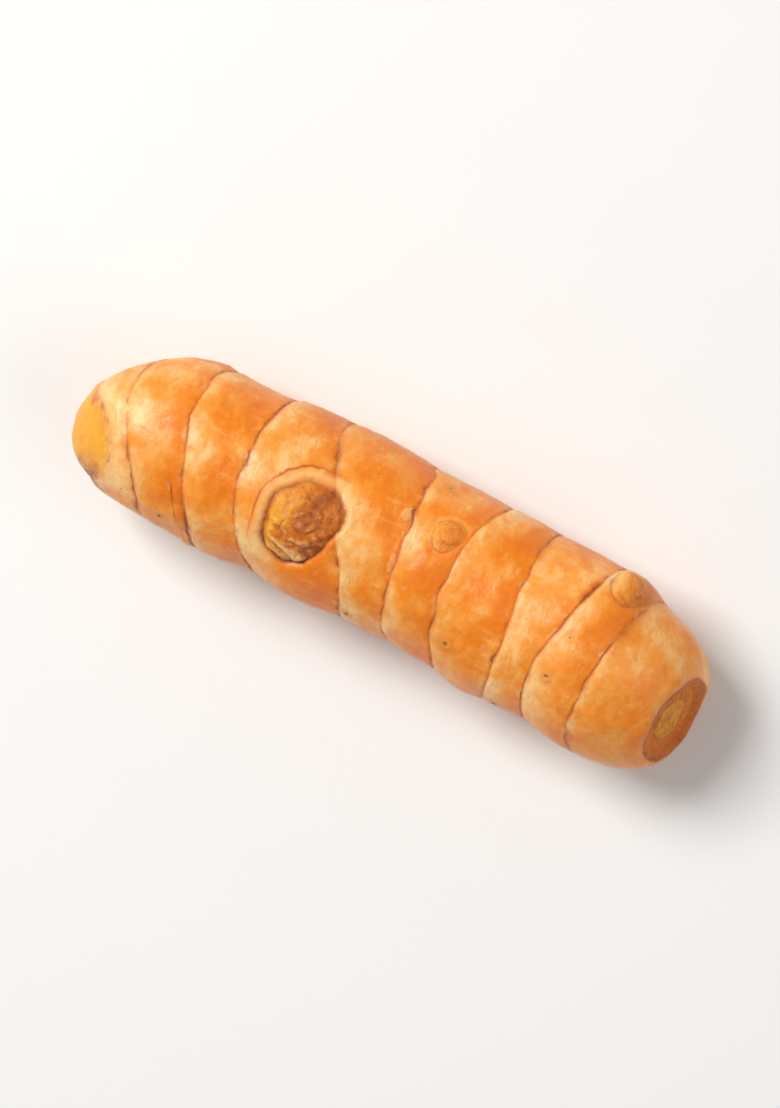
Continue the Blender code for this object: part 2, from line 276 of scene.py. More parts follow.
class Value:
    """An output socket that Python's operators work on by adding Math nodes."""

    def __init__(self, nodes, socket):
        self.nodes = nodes
        self.socket = socket

    def __add__(self, other):
        return apply_value("ADD", None, self, other)

    def __sub__(self, other):
        return apply_value("SUBTRACT", None, self, other)

    def __rsub__(self, other):
        return apply_value("SUBTRACT", None, other, self)

    def __mul__(self, other):
        return apply_value("MULTIPLY", None, self, other)

    def __truediv__(self, other):
        return apply_value("DIVIDE", None, self, other)

    def __rtruediv__(self, other):
        return apply_value("DIVIDE", None, other, self)

    def __pow__(self, other):
        return apply_value("POWER", None, self, other)

    def __gt__(self, other):
        return apply_value("GREATER_THAN", None, self, other)

    def __lt__(self, other):
        return apply_value("LESS_THAN", None, self, other)

    __radd__ = __add__
    __rmul__ = __mul__


def sine(angle):
    return apply_value("SINE", math.sin, angle)


def cosine(angle):
    return apply_value("COSINE", math.cos, angle)


def root(value):
    return apply_value("SQRT", math.sqrt, value)


def smaller(one, other):
    return apply_value("MINIMUM", min, one, other)


def larger(one, other):
    return apply_value("MAXIMUM", max, one, other)


def whole_part(value):
    return apply_value("FLOOR", math.floor, value)


def held(value):
    """A value held between 0 and 1."""
    return smaller(larger(value, 0.0), 1.0)


def bell(distance, reach):
    """A smooth hump: 1 at no distance, under 0.02 at twice the reach."""
    share = distance / reach
    return apply_value("EXPONENT", math.exp, share * share * -1.0)


def rise_over(value, blend):
    """A smooth step: 0 well below zero, 1 well above it."""
    return apply_value("TANH", math.tanh, value * (2 / blend)) * 0.5 + 0.5


def angle_from(turn, other):
    """The shortest angle from one turn to another, signed."""

    def wrap(angle, high, low):
        return (angle - low) % (high - low) + low

    return apply_value("WRAP", wrap, turn - other, math.pi, -math.pi)


def heading_of(across, along):
    return apply_value("ARCTAN2", math.atan2, across, along)


class Nodes:
    """Adds nodes to a shader or geometry tree."""

    def __init__(self, tree):
        self.tree = tree

    def node(self, kind, inputs, output=0, **settings):
        """One node, its settings made first, then its sockets filled with numbers or links."""
        made = self.tree.nodes.new(kind)
        for name, setting in settings.items():
            setattr(made, name, setting)
        for key, value in inputs.items():
            if isinstance(value, Value):
                self.tree.links.new(value.socket, made.inputs[key])
            else:
                made.inputs[key].default_value = value
        return Value(self, made.outputs[output])

    def mix(self, mask, below, above):
        """A colour that goes from one to the other where the mask rises."""
        factor, first, second = 0, 6, 7
        inputs = {factor: mask, first: as_colour(below), second: as_colour(above)}
        return self.node("ShaderNodeMix", inputs, output=2, data_type="RGBA", clamp_factor=True)

    def noise(self, place, size, detail=3.0, roughness=0.5, distortion=0.0, seed=0.0):
        """Noise about 0, mostly within 1 of it, with humps of the given size."""
        inputs = {
            "Vector": place,
            "W": seed,
            "Scale": 1 / size,
            "Detail": detail,
            "Roughness": roughness,
            "Distortion": distortion,
        }
        return self.node("ShaderNodeTexNoise", inputs, noise_dimensions="4D") * 5 - 2.5

    def vector(self, x, y, z):
        return self.node("ShaderNodeCombineXYZ", {0: x, 1: y, 2: z})

    def parts(self, vector):
        return [self.node("ShaderNodeSeparateXYZ", {0: vector}, output=k) for k in range(3)]

    def stretched(self, place, x, y, z):
        """A place divided along each axis, so that a pattern on it is drawn out that many times."""
        shares = (1 / x, 1 / y, 1 / z)
        return self.node("ShaderNodeVectorMath", {0: place, 1: shares}, operation="MULTIPLY")

    def dot(self, place, axis):
        """How far a place lies along an axis."""
        inputs = {0: place, 1: tuple(axis)}
        return self.node("ShaderNodeVectorMath", inputs, output=1, operation="DOT_PRODUCT")

    def distance(self, place, point):
        """How far a place lies from a point."""
        return self.node("ShaderNodeVectorMath", {0: place, 1: point}, output=1, operation="DISTANCE")

    def grouped(self, name, work, *values):
        """Works values out inside a node group, which is made once and used again by its name."""
        group = bpy.data.node_groups.get(name) or self.new_group(name, work, values)
        holder = self.tree.nodes.new(self.tree.bl_idname.replace("NodeTree", "NodeGroup"))
        holder.node_tree = group
        for socket, value in zip(holder.inputs, values):
            if isinstance(value, Value):
                self.tree.links.new(value.socket, socket)
            else:
                socket.default_value = value
        results = [Value(self, socket) for socket in holder.outputs]
        return results if len(results) > 1 else results[0]

    def new_group(self, name, work, values):
        """The node group itself, with a socket for each value given and each result."""
        group = bpy.data.node_groups.new(name, self.tree.bl_idname)
        for k, value in enumerate(values):
            group.interface.new_socket(f"value {k}", in_out="INPUT", socket_type=socket_kind(value))
        inner = Nodes(group)
        given = group.nodes.new("NodeGroupInput")
        made = work(inner, *[Value(inner, given.outputs[k]) for k in range(len(values))])
        made = made if isinstance(made, (list, tuple)) else [made]
        for k, value in enumerate(made):
            group.interface.new_socket(f"result {k}", in_out="OUTPUT", socket_type=socket_kind(value))
        result = group.nodes.new("NodeGroupOutput")
        for k, value in enumerate(made):
            group.links.new(value.socket, result.inputs[k])
        return group


def as_colour(value):
    """A colour as a socket takes it, with its alpha."""
    return value if isinstance(value, Value) else (*value, 1.0)


def socket_kind(value):
    """The plain kind of socket that a value needs: number, vector or colour."""
    name = value.socket.bl_idname if isinstance(value, Value) else "NodeSocketFloat"
    kinds = ("NodeSocketFloat", "NodeSocketVector", "NodeSocketColor")
    return next(kind for kind in kinds if name.startswith(kind))


# The plain form of the finger

def segment_shares(station):
    """For each pair of neighbouring rings, how far the station lies from the first to the second."""
    return [held((station - a.station) / (b.station - a.station)) for a, b in zip(RINGS, RINGS[1:])]


def along_rings(shares, values):
    """One value for each ring, read between the rings in proportion."""
    total = values[0]
    for share, before, after in zip(shares, values, values[1:]):
        total = share * (after - before) + total
    return total


def two_humped(shares, turn, sizes):
    """A wave of two humps round the finger, with each ring's own phase and size."""
    phases = [math.radians(ring.phase) for ring in RINGS]
    sines = along_rings(shares, [size * math.cos(phase) for size, phase in zip(sizes, phases)])
    cosines = along_rings(shares, [size * math.sin(phase) for size, phase in zip(sizes, phases)])
    return sines * sine(turn * 2) + cosines * cosine(turn * 2)


def spine(station):
    """The middle of the finger at each station."""
    swerve = larger(1 - station / TIP_TAPER, 0.0) ** SWERVE_POWER * TIP_SWERVE
    droop = larger(1 - station / DROOP_REACH, 0.0) ** DROOP_POWER * TIP_DROOP
    bend = larger((station - BEND_START) / (LENGTH - BEND_START), 0.0) ** 2 * BASE_BEND
    off_rest = (station - REST_STATION) / (LENGTH / 2)
    return station, 0 - swerve - bend, off_rest * off_rest * ARCH + REST_HEIGHT - droop


def spine_slope(station):
    """How fast the spine moves sideways and up for each step along."""
    swerve = larger(1 - station / TIP_TAPER, 0.0) ** (SWERVE_POWER - 1)
    droop = larger(1 - station / DROOP_REACH, 0.0) ** (DROOP_POWER - 1)
    bend = larger((station - BEND_START) / (LENGTH - BEND_START), 0.0)
    off_rest = (station - REST_STATION) / (LENGTH / 2)
    swerve_slope = TIP_SWERVE * SWERVE_POWER / TIP_TAPER
    bend_slope = 2 * BASE_BEND / (LENGTH - BEND_START)
    droop_slope = TIP_DROOP * DROOP_POWER / DROOP_REACH
    arch_slope = 2 * ARCH / (LENGTH / 2)
    return swerve * swerve_slope - bend * bend_slope, off_rest * arch_slope + droop * droop_slope


def girth(station):
    """The radius before rings and swells: a bullet-shaped tip, an even middle, a blunt base."""
    to_tip = held(1 - station / TIP_TAPER)
    to_base = held(1 - (LENGTH - station) / BASE_TAPER)
    base = root(larger(1 - to_base**BASE_POWER, 0.0))
    tip = root(larger(1 - to_tip**TIP_POWER, 0.0))
    return (base * (RADIUS - FACE_RADIUS) + FACE_RADIUS) * tip


def swell_here(station, turn, swell_station, swell_turn, height, along, around):
    """How far one swell lifts the flesh here."""
    return bell(station - swell_station, along) * bell(angle_from(turn, swell_turn), around) * height


def swelling(station, turn, one_swell):
    """How far the flesh stands out over its even girth."""
    total = 0.0
    for swell in SWELLS:
        turned, around = math.radians(swell.turn), math.radians(swell.around)
        total = one_swell(station, turn, swell.station, turned, swell.height, swell.along, around) + total
    return total * girth(station) / RADIUS


def form(walk, turn, one_swell=swell_here):
    """A point of the plain form: leaning cross-sections round the spine, closed over the base."""
    station = smaller(larger(walk, 0.0), LENGTH)
    outward = 1 - held((walk - LENGTH) / FACE_RADIUS)
    shares = segment_shares(station)
    radius = (girth(station) + swelling(station, turn, one_swell)) * outward
    rise = radius * cosine(turn)
    reach = radius * sine(turn)
    near_base = held((LENGTH - station) / (LENGTH - RINGS[-1].station))
    slide = two_humped(shares, turn, [ring.wave for ring in RINGS]) * near_base * outward
    slide = slide - along_rings(shares, [ring.lean_top for ring in RINGS]) * rise
    slide = slide - along_rings(shares, [ring.lean_side for ring in RINGS]) * reach
    slide = slide * held(station / RINGS[0].station)
    rise = rise * HEIGHT_OVER_WIDTH

    sideways, upward = spine_slope(station)
    level = root(sideways * sideways + 1)
    whole = root(sideways * sideways + upward * upward + 1)
    along = (1 / whole, sideways / whole, upward / whole)
    side = (0 - sideways / level, 1 / level)
    up = (0 - along[2] * side[1], along[2] * side[0], along[0] * side[1] - along[1] * side[0])
    middle = spine(station)
    return (
        middle[0] + along[0] * slide + up[0] * rise + side[0] * reach,
        middle[1] + along[1] * slide + up[1] * rise + side[1] * reach,
        middle[2] + along[2] * slide + up[2] * rise,
    )


def form_in_nodes(nodes, walk, turn):
    """The place of a point of the plain form, by nodes."""

    def one_swell(*values):
        return nodes.grouped("one swell", lambda inner, *given: swell_here(*given), *values)

    return nodes.vector(*form(walk, turn, one_swell))


# Where a point of the skin lies among the rings, the eyes, the cap and the base

def ring_count(strayed):
    """How many rings lie before a point, counted on smoothly between them: whole at each ring."""
    count = smaller(larger((strayed - RINGS[0].station) / USUAL_SEGMENT, -0.5), 0.0)
    for share in segment_shares(strayed):
        count = share + count
    return held((strayed - RINGS[-1].station) / USUAL_SEGMENT) * 0.5 + count


def past_ring(count):
    """About how far past the nearest ring a point lies."""
    return (count - whole_part(count + 0.5)) * USUAL_SEGMENT


def ring_strength(walk, turn):
    """How deeply the rings are drawn here."""
    shares = segment_shares(walk)
    even = along_rings(shares, [ring.depth * RING_EVEN_SHARE for ring in RINGS])
    return two_humped(shares, turn, [ring.depth * (1 - RING_EVEN_SHARE) for ring in RINGS]) + even


def first_ring_askew(walk, turn):
    """How far the first ring's line lies towards the base: less on its -Y flank, more elsewhere."""
    flank = rise_over(sine(turn) + 0.55, 0.8) * (ASKEW_TO_BASE + ASKEW_TO_TIP) - ASKEW_TO_TIP
    return bell(walk - RINGS[0].station, ASKEW_REACH) * flank


def ring_marks(nodes, walk, turn, stray):
    """A point's count of rings, its own stray allowed for, and how deeply they are drawn."""
    strayed = walk + stray - first_ring_askew(walk, turn)
    return ring_count(strayed), ring_strength(walk, turn)


class EyePlane:
    """The plane that touches the form at an eye, with axes towards the base and sideways."""

    def __init__(self, eye):
        turn = math.radians(eye.turn)
        self.radius = eye.radius
        self.centre = Vector(form(eye.station, turn))
        self.to_base = (Vector(form(eye.station + SMALL_STEP, turn)) - self.centre).normalized()
        round_it = Vector(form(eye.station, turn + SMALL_TURN)) - self.centre
        self.out = self.to_base.cross(round_it).normalized()
        self.sideways = self.out.cross(self.to_base)

    def near(self, nodes, place):
        """A point's place on the plane, in the eye's own radii, and whether it is close to the eye."""
        along, across, out = (
            nodes.dot(place, axis / self.radius) - self.centre.dot(axis) / self.radius
            for axis in (self.to_base, self.sideways, self.out)
        )
        return along, across, (out > -1.0) * (along * along + across * across < EYE_REACH**2)


def past_cap(nodes, place):
    """How far a point lies from the cap's edge towards the base; the edge bulges in the middle."""
    facing = Vector(CAP_FACING).normalized()
    away = nodes.distance(place, CAP_POINT)
    held_back = smaller(away * away * CAP_CURVE, CAP_BULGE) - CAP_BULGE / 3
    return nodes.dot(place, facing) - facing.dot(CAP_POINT) + held_back


# Patterns that the form and the material share

def eye_edge(nodes, along, across, size, seed):
    """How far out a point lies as a share of the eye's uneven edge."""
    heading = heading_of(across, along)
    edge = cosine(heading * 2 + 3.9) * EYE_UNEVEN + sine(heading * 3) * (EYE_UNEVEN / 2) + 1
    spot = nodes.vector(along, across, size)
    ragged = nodes.noise(spot, 0.55, detail=2.0, seed=seed) + nodes.noise(spot, 0.14, seed=seed) * 0.35
    return root(along * along + across * across) / edge + ragged * EYE_RAGGED


def eye_layers(nodes, along, across, size, winds, seed):
    """Torn scale layers wound into an eye: their height, how dark their edges are, and their fibres."""
    spot = nodes.vector(along, across, size)
    warped_along = nodes.noise(spot, 0.9, detail=2.0, seed=seed + 1) * 0.17 + along - 0.10
    warped_across = nodes.noise(spot, 0.9, detail=2.0, seed=seed + 2) * 0.17 + across - 0.12
    tear = nodes.noise(spot, 0.16, detail=3.0, roughness=0.65, seed=seed)
    fade = held(nodes.noise(spot, 0.42, detail=2.0, seed=seed + 3) * 1.2 + 0.40 - across * 0.55)
    heading = heading_of(warped_across, warped_along)
    share = root(warped_along * warped_along + warped_across * warped_across)
    wound = (share + tear * 0.03) * size * (1.25 - share * 0.2) - heading * winds / (2 * math.pi)
    step = wound - whole_part(wound)
    height = step * step * rise_over(0.96 - step, 0.10) * (0.25 + fade) + tear * 0.26
    edge = larger(bell(step - 1.0, 0.16), bell(step, 0.08)) * fade * rise_over(share - 0.16, 0.2)
    return height, edge, tear


def ring_edges(nodes, place, seed):
    """How raggedly a ring is drawn: a slow change of its strength, a quick one, and its flakes' reach."""
    slow = nodes.noise(place, 4.5 * MM, detail=1.0, seed=seed)
    quick = nodes.noise(place, 1.3 * MM, detail=3.0, roughness=0.55, seed=seed)
    flake = nodes.noise(place, 3.0 * MM, detail=1.0, seed=seed + 5)
    return slow, quick, larger((flake * 1.2 + quick * 0.45 - 0.15) * FLAKE_REACH, 0.0)


def covered_by_eye(share):
    """1 on an eye and its collar, where no ring is drawn."""
    return rise_over(1.25 - share, 0.4)


def flake_cover(past, reach):
    """1 on a flake of old scale, which runs from the ring towards the tip by its reach."""
    return rise_over(0 - past, FLAKE_STEP) * rise_over(past + reach, FLAKE_STEP)


# The skin's form

def group_input(tree, name, value):
    """A named input of a Geometry Nodes tree, with its ordinary value."""
    socket = tree.interface.new_socket(name, in_out="INPUT", socket_type="NodeSocketFloat")
    socket.default_value = value
    return socket.identifier


def sheet_walk(nodes, lengthwise):
    """The walk of a row of the sheet: rows lie closer at the tip's pole and by the rings."""
    crowded = smaller(lengthwise, TIP_ROWS_SHARE)
    even = larger(lengthwise - TIP_ROWS_SHARE, 0.0)
    whole = TIP_ROWS_SHARE**2 + 2 * TIP_ROWS_SHARE * (1 - TIP_ROWS_SHARE)
    walk = (crowded * crowded + even * (2 * TIP_ROWS_SHARE)) * ((LENGTH + FACE_RADIUS) / whole)
    drawn_in = 0.0
    for ring in RINGS:
        past = walk - ring.station
        drawn_in = past * bell(past, RING_CROWDING_REACH) + drawn_in
    return walk - drawn_in * RING_CROWDING


def skin_sheet(nodes, rows, columns):
    """The flat sheet, and the walk and turn of each of its points."""
    inputs = {"Size X": 1.0, "Size Y": 1.0, "Vertices X": rows, "Vertices Y": columns}
    sheet = nodes.node("GeometryNodeMeshGrid", inputs)
    x, y, _ = nodes.parts(nodes.node("GeometryNodeInputPosition", {}))
    crosswise = y * 2
    turn = (crosswise - sine(crosswise * math.pi) * TOP_CROWDING) * math.pi
    return sheet, nodes.grouped("sheet walk", sheet_walk, x + 0.5), turn


def ring_relief(nodes, count, strength, place, seed):
    """Creases between barrels of flesh, with torn flakes before each and a swelling behind."""
    slow, quick, flake = ring_edges(nodes, place, seed)
    past = past_ring(count) + quick * RING_FRAY
    depth = held(slow * 0.6 + quick * 0.25 + 0.65)
    crease = bell(past, (slow * 0.3 + 1) * CREASE_WIDTH) * strength * depth * CREASE_DEPTH
    edge = bell(smaller(past, 0.0), EDGE_REACH) * rise_over(0 - past - 0.05 * MM, 0.14 * MM)
    edge = edge * held(slow * 0.9 + 0.5) * EDGE_HEIGHT
    flakes = flake_cover(past, flake) * FLAKE_HEIGHT
    swell = bell(past - SWELL_BEHIND, SWELL_WIDTH) * strength * SWELL_HEIGHT
    between = (count > 0.0) * (count < len(RINGS) - 1.0)
    barrel = sine((count - whole_part(count)) * math.pi) * between * BARREL_CROWN
    return edge + flakes + swell - crease + barrel


def dot_relief(nodes, place, centre, radius, nearest):
    """A hair root's dot: a low rim round a pit, and the share of the nearest dot so far."""
    away = nodes.distance(place, centre) / radius
    away = nodes.noise(place, CRUMB_SIZE, detail=2.0) * 0.22 + away
    raised = bell(away - 1.0, 0.40) * DOT_RIM - bell(away, 0.65) * DOT_PIT
    return raised, smaller(nearest, away)


def eye_relief(nodes, along, across, size, winds, depth, dome, seed):
    """A broken collar, a fold of skin, a groove, and a dome of torn layers, fullest on its tip side."""
    share = eye_edge(nodes, along, across, size, seed)
    spot = nodes.vector(along, across, size)
    patchy = nodes.noise(spot, 0.9, detail=1.0, seed=seed + 4)
    height, edge, _ = eye_layers(nodes, along, across, size, winds, seed)
    inside = rise_over(1 - share, 0.22)
    collar = bell(share - EYE_COLLAR_AT, 0.13) * held(0.55 + patchy * 0.5 - along * 0.25)
    collar = collar * (winds * 0.8 + 0.2) * EYE_COLLAR
    fold = rise_over(EYE_FOLD_AT - share, 0.06) * rise_over(share - 0.9, 0.3)
    fold = fold * held(across - along * 1.6 - 0.1) * EYE_COLLAR
    one_sided = held(0.75 - along * 0.55) * (1 - winds) + winds
    sheltered = 1 - held(across - along) * 0.5
    groove = bell(share - 1.0, 0.07) * held(0.75 + patchy * 0.3 - across * 0.25)
    groove = groove * one_sided * EYE_GROOVE * sheltered
    domed = inside * (1 - along * EYE_TILT) * larger(1 - share * share, 0.0) * dome
    layered = inside * (height - edge * 0.35) * LAYER_HEIGHT
    return share, (collar + fold * 0.5 * winds - groove) * depth + domed + layered * root(depth)


def base_relief(nodes, walk, turn, place, seed):
    """The snapped base: a rim, a hollow inside it, and the torn stump of the core."""
    off_centre = LENGTH + FACE_RADIUS - walk
    torn = 0.6
    for lobes, phase in TEARS:
        torn = sine(turn * lobes + phase) / len(TEARS) + torn
    inside = rise_over(RIM_RADIUS - RIM_WIDTH - off_centre, RIM_WIDTH)
    rim = bell(off_centre - RIM_RADIUS, RIM_WIDTH) * RIM_HEIGHT
    core = bell(off_centre - CORE_RADIUS, CORE_WIDTH) * CORE_HEIGHT
    flesh = nodes.noise(place, TORN_FLESH_SIZE, detail=3.0, roughness=0.6, seed=seed)
    return (rim + core) * torn - inside * HOLLOW_DEPTH + inside * flesh * TORN_FLESH


def skin_tree(material):
    """The Geometry Nodes tree that makes the skin, and the values of its named inputs."""
    tree = bpy.data.node_groups.new("turmeric skin", "GeometryNodeTree")
    tree.interface.new_socket("Skin", in_out="OUTPUT", socket_type="NodeSocketGeometry")
    settings = {
        group_input(tree, name, value): value
        for name, value in (
            ("Ring wander", RING_WANDER),
            ("Dimple depth", DIMPLE_DEPTH),
            ("Wrinkle depth", WRINKLE_DEPTH),
            ("Seed", SEED),
        )
    }
    nodes = Nodes(tree)
    given = tree.nodes.new("NodeGroupInput")
    wander, dimple_depth, wrinkle_depth, seed = (Value(nodes, given.outputs[k]) for k in range(4))

    sheet, walk, turn = skin_sheet(nodes, SHEET_ROWS, SHEET_COLUMNS)
    place = nodes.grouped("plain form", form_in_nodes, walk, turn)
    stray = nodes.noise(place, RING_WANDER_SIZE, detail=2.0, seed=seed) * wander
    count, strength = nodes.grouped("ring marks", ring_marks, walk, turn, stray)
    relief = nodes.grouped("ring relief", ring_relief, count, strength, place, seed)
    marks = {"walk": walk, "ring_count": count, "ring_strength": strength}
    far = {"eye_share": FAR_FROM_EYES, "eye_along": FAR_FROM_EYES}
    far.update({"eye_across": 0, "eye_size": 0, "eye_winds": 0})
    marks.update(far)
    raised = 0.0
    for eye in EYES:
        along, across, near = EyePlane(eye).near(nodes, place)
        size = eye.radius / LAYER_WIDTH
        depth = eye.relief * eye.radius / EYES[0].radius
        given = (along, across, size, eye.winds, depth, eye.dome, seed)
        share, height = nodes.grouped("eye relief", eye_relief, *given)
        relief = relief * (1 - covered_by_eye(share) * near)
        raised = height * near + raised
        for name, value in zip(far, (share, along, across, size, eye.winds)):
            marks[name] = (value - far[name]) * near + marks[name]
    nearest_dot = DOT_REACH
    for dot in ROOT_DOTS:
        centre = nodes.vector(*form(dot.station, math.radians(dot.turn)))
        given = (place, centre, dot.radius, nearest_dot)
        height, nearest_dot = nodes.grouped("root dot", dot_relief, *given)
        raised = raised + height
    marks["root_dot"] = nearest_dot
    cap = rise_over(0 - past_cap(nodes, place), CAP_BLEND)
    base = nodes.grouped("base relief", base_relief, walk, turn, place, seed)

    dimples = nodes.noise(nodes.stretched(place, 1.6, 1.0, 1.0), DIMPLE_SIZE, detail=2.0, seed=seed)
    wrinkles = nodes.noise(nodes.stretched(place, 1.0, 2.0, 2.0), WRINKLE_SIZE, detail=2.0, seed=seed)
    relief = relief + raised + base - cap * CAP_STEP
    marks["relief"] = relief + dimples * dimple_depth + wrinkles * wrinkle_depth

    geometry = sheet
    marks["skin_place"] = place
    for name, value in marks.items():
        kind = "FLOAT_VECTOR" if name == "skin_place" else "FLOAT"
        inputs = {"Geometry": geometry, "Name": name, "Value": value}
        geometry = nodes.node("GeometryNodeStoreNamedAttribute", inputs, data_type=kind, domain="POINT")
    geometry = nodes.node("GeometryNodeSetPosition", {"Geometry": geometry, "Position": place})
    geometry = nodes.node("GeometryNodeMergeByDistance", {"Geometry": geometry, "Distance": WELD})
    outward = nodes.node("GeometryNodeInputNormal", {})
    height = nodes.node("GeometryNodeInputNamedAttribute", {"Name": "relief"}, data_type="FLOAT")
    offset = nodes.node("ShaderNodeVectorMath", {0: outward, "Scale": height}, operation="SCALE")
    geometry = nodes.node("GeometryNodeSetPosition", {"Geometry": geometry, "Offset": offset})
    geometry = pressed_flat(nodes, geometry)
    finish_tree(nodes, geometry, material, "Skin")
    return tree, settings


def pressed_flat(nodes, geometry):
    """Presses the belly flat where the finger rests."""
    x, y, z = nodes.parts(nodes.node("GeometryNodeInputPosition", {}))
    inputs = {"Geometry": geometry, "Position": nodes.vector(x, y, larger(z, 0.0))}
    return nodes.node("GeometryNodeSetPosition", inputs)


def finish_tree(nodes, geometry, material, output):
    """Smooths, realizes and gives the material, which every tree ends in."""
    geometry = nodes.node("GeometryNodeSetShadeSmooth", {"Geometry": geometry, "Shade Smooth": True})
    geometry = nodes.node("GeometryNodeRealizeInstances", {"Geometry": geometry})
    geometry = nodes.node("GeometryNodeSetMaterial", {"Geometry": geometry, "Material": material})
    result = nodes.tree.nodes.new("NodeGroupOutput")
    nodes.tree.links.new(geometry.socket, result.inputs[output])


def plain_mesh(name, tree, settings):
    """The mesh that a Geometry Nodes tree makes, as an object of its own."""
    maker = bpy.data.objects.new(name + "_maker", bpy.data.meshes.new(name + "_maker"))
    bpy.context.scene.collection.objects.link(maker)
    modifier = maker.modifiers.new("form", "NODES")
    modifier.node_group = tree
    for identifier, value in settings.items():
        modifier[identifier] = value
    seen = maker.evaluated_get(bpy.context.evaluated_depsgraph_get())
    mesh = bpy.data.meshes.new_from_object(seen)
    bpy.data.objects.remove(maker)
    mesh.name = name
    piece = bpy.data.objects.new(name, mesh)
    bpy.context.scene.collection.objects.link(piece)
    return piece


def centre_on_solid(piece):
    """Moves the mesh so that the middle of its box lies over the solid's, at the same floor."""
    low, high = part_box("turmeric_root")
    corners = [Vector(corner) for corner in piece.bound_box]
    middle = [(min(c[k] for c in corners) + max(c[k] for c in corners)) / 2 for k in range(2)]
    shift = Vector([(low[k] + high[k]) / 2 - middle[k] for k in range(2)] + [0.0])
    piece.data.transform(Matrix.Translation(shift))


# The materials

def mark(nodes, name):
    """A number that the form left on the skin for the material."""
    return nodes.node("ShaderNodeAttribute", {}, output=2, attribute_name=name)


def ring_colours(nodes, skin, place, covered):
    """A ragged brown crease, thick and thin by turns, with painted shade in a band on its tip side and
    pale flakes of old scale.
    """
    slow, quick, flake = ring_edges(nodes, place, SEED)
    frayed = nodes.noise(nodes.stretched(place, 2.5, 1.0, 1.0), FRAYED_SIZE, detail=3.0, seed=SEED)
    past = past_ring(mark(nodes, "ring_count")) + quick * RING_FRAY + frayed * 0.04 * MM
    _, _, z = nodes.parts(place)
    low = held(0.75 - z / (24 * MM))
    shown = mark(nodes, "ring_strength") * (1 - covered)
    low = bell(nodes.distance(place, DARK_SPOT), DARK_SPOT_REACH) * 1.2 + low
    # Painted shade: a soft deep-orange band on the tip side of each ring, stronger lower down.
    painted_step_shade = bell(past + 0.1 * MM, 0.60 * MM) * held(0.30 - slow * 0.5 + quick * 0.35 + low * 0.4)
    skin = nodes.mix(painted_step_shade * shown * 0.75, skin, DEEP)
    scorch = bell(past, (0.30 - slow * 0.10) * MM) * held(0.25 - slow * 0.6 + quick * 0.5 + low * 0.45)
    skin = nodes.mix(held(scorch * shown), skin, RUST)
    flakes = flake_cover(past, flake) * shown
    skin = nodes.mix(flakes * held(0.35 + quick * 0.2 + frayed * 0.2), skin, CREAM)
    flake_edge = bell(past + flake, 0.07 * MM) * held(flake / (0.2 * MM)) * held(0.4 + frayed * 0.6)
    skin = nodes.mix(flake_edge * shown * 0.7, skin, RUST)
    width = (0.12 - slow * 0.04 + low * 0.05) * MM
    line = bell(past, width) * held(0.45 - slow * 0.50 + quick * 0.45 + frayed * 0.2 + low * 0.3)
    tint = nodes.mix(held(0.25 + quick * 0.5 - slow * 0.5 + low * 0.3), RUST, BROWN)
    skin = nodes.mix(held(line * shown * 1.1), skin, tint)
    twin = bell(past - (0.42 + slow * 0.12) * MM, 0.07 * MM) * held(quick * 0.8 - slow * 0.7 - 0.35)
    skin = nodes.mix(held(twin * shown), skin, RUST)
    return skin, held(line * shown), flakes


def cap_colours(nodes, skin, place, patch, mottle):
    """The golden bud, with a rusty smear along its edge and a brown blemish under it."""
    past = past_cap(nodes, place) + (patch * 0.35 + mottle * 0.18) * MM
    golden = nodes.mix(held(patch * 0.5 + mottle * 0.4 + 0.25), GOLD, ORANGE)
    skin = nodes.mix(rise_over(0 - past, 0.8 * MM) * 0.95, skin, golden)
    smear = bell(past + 0.05 * MM, 0.70 * MM) * held(patch * 0.6 + mottle * 0.6 + 0.50)
    skin = nodes.mix(smear * 0.90, skin, RUST)
    fine = bell(past - 0.25 * MM, 0.14 * MM) * held(mottle * 0.8 + 0.2)
    skin = nodes.mix(fine * 0.7, skin, BROWN)
    away = nodes.distance(place, BLEMISH)
    blemish = bell(away, BLEMISH_REACH) * held(patch * 0.5 + mottle * 0.6 + 0.75)
    return nodes.mix(held(blemish * 1.5) * 0.92, skin, BROWN)


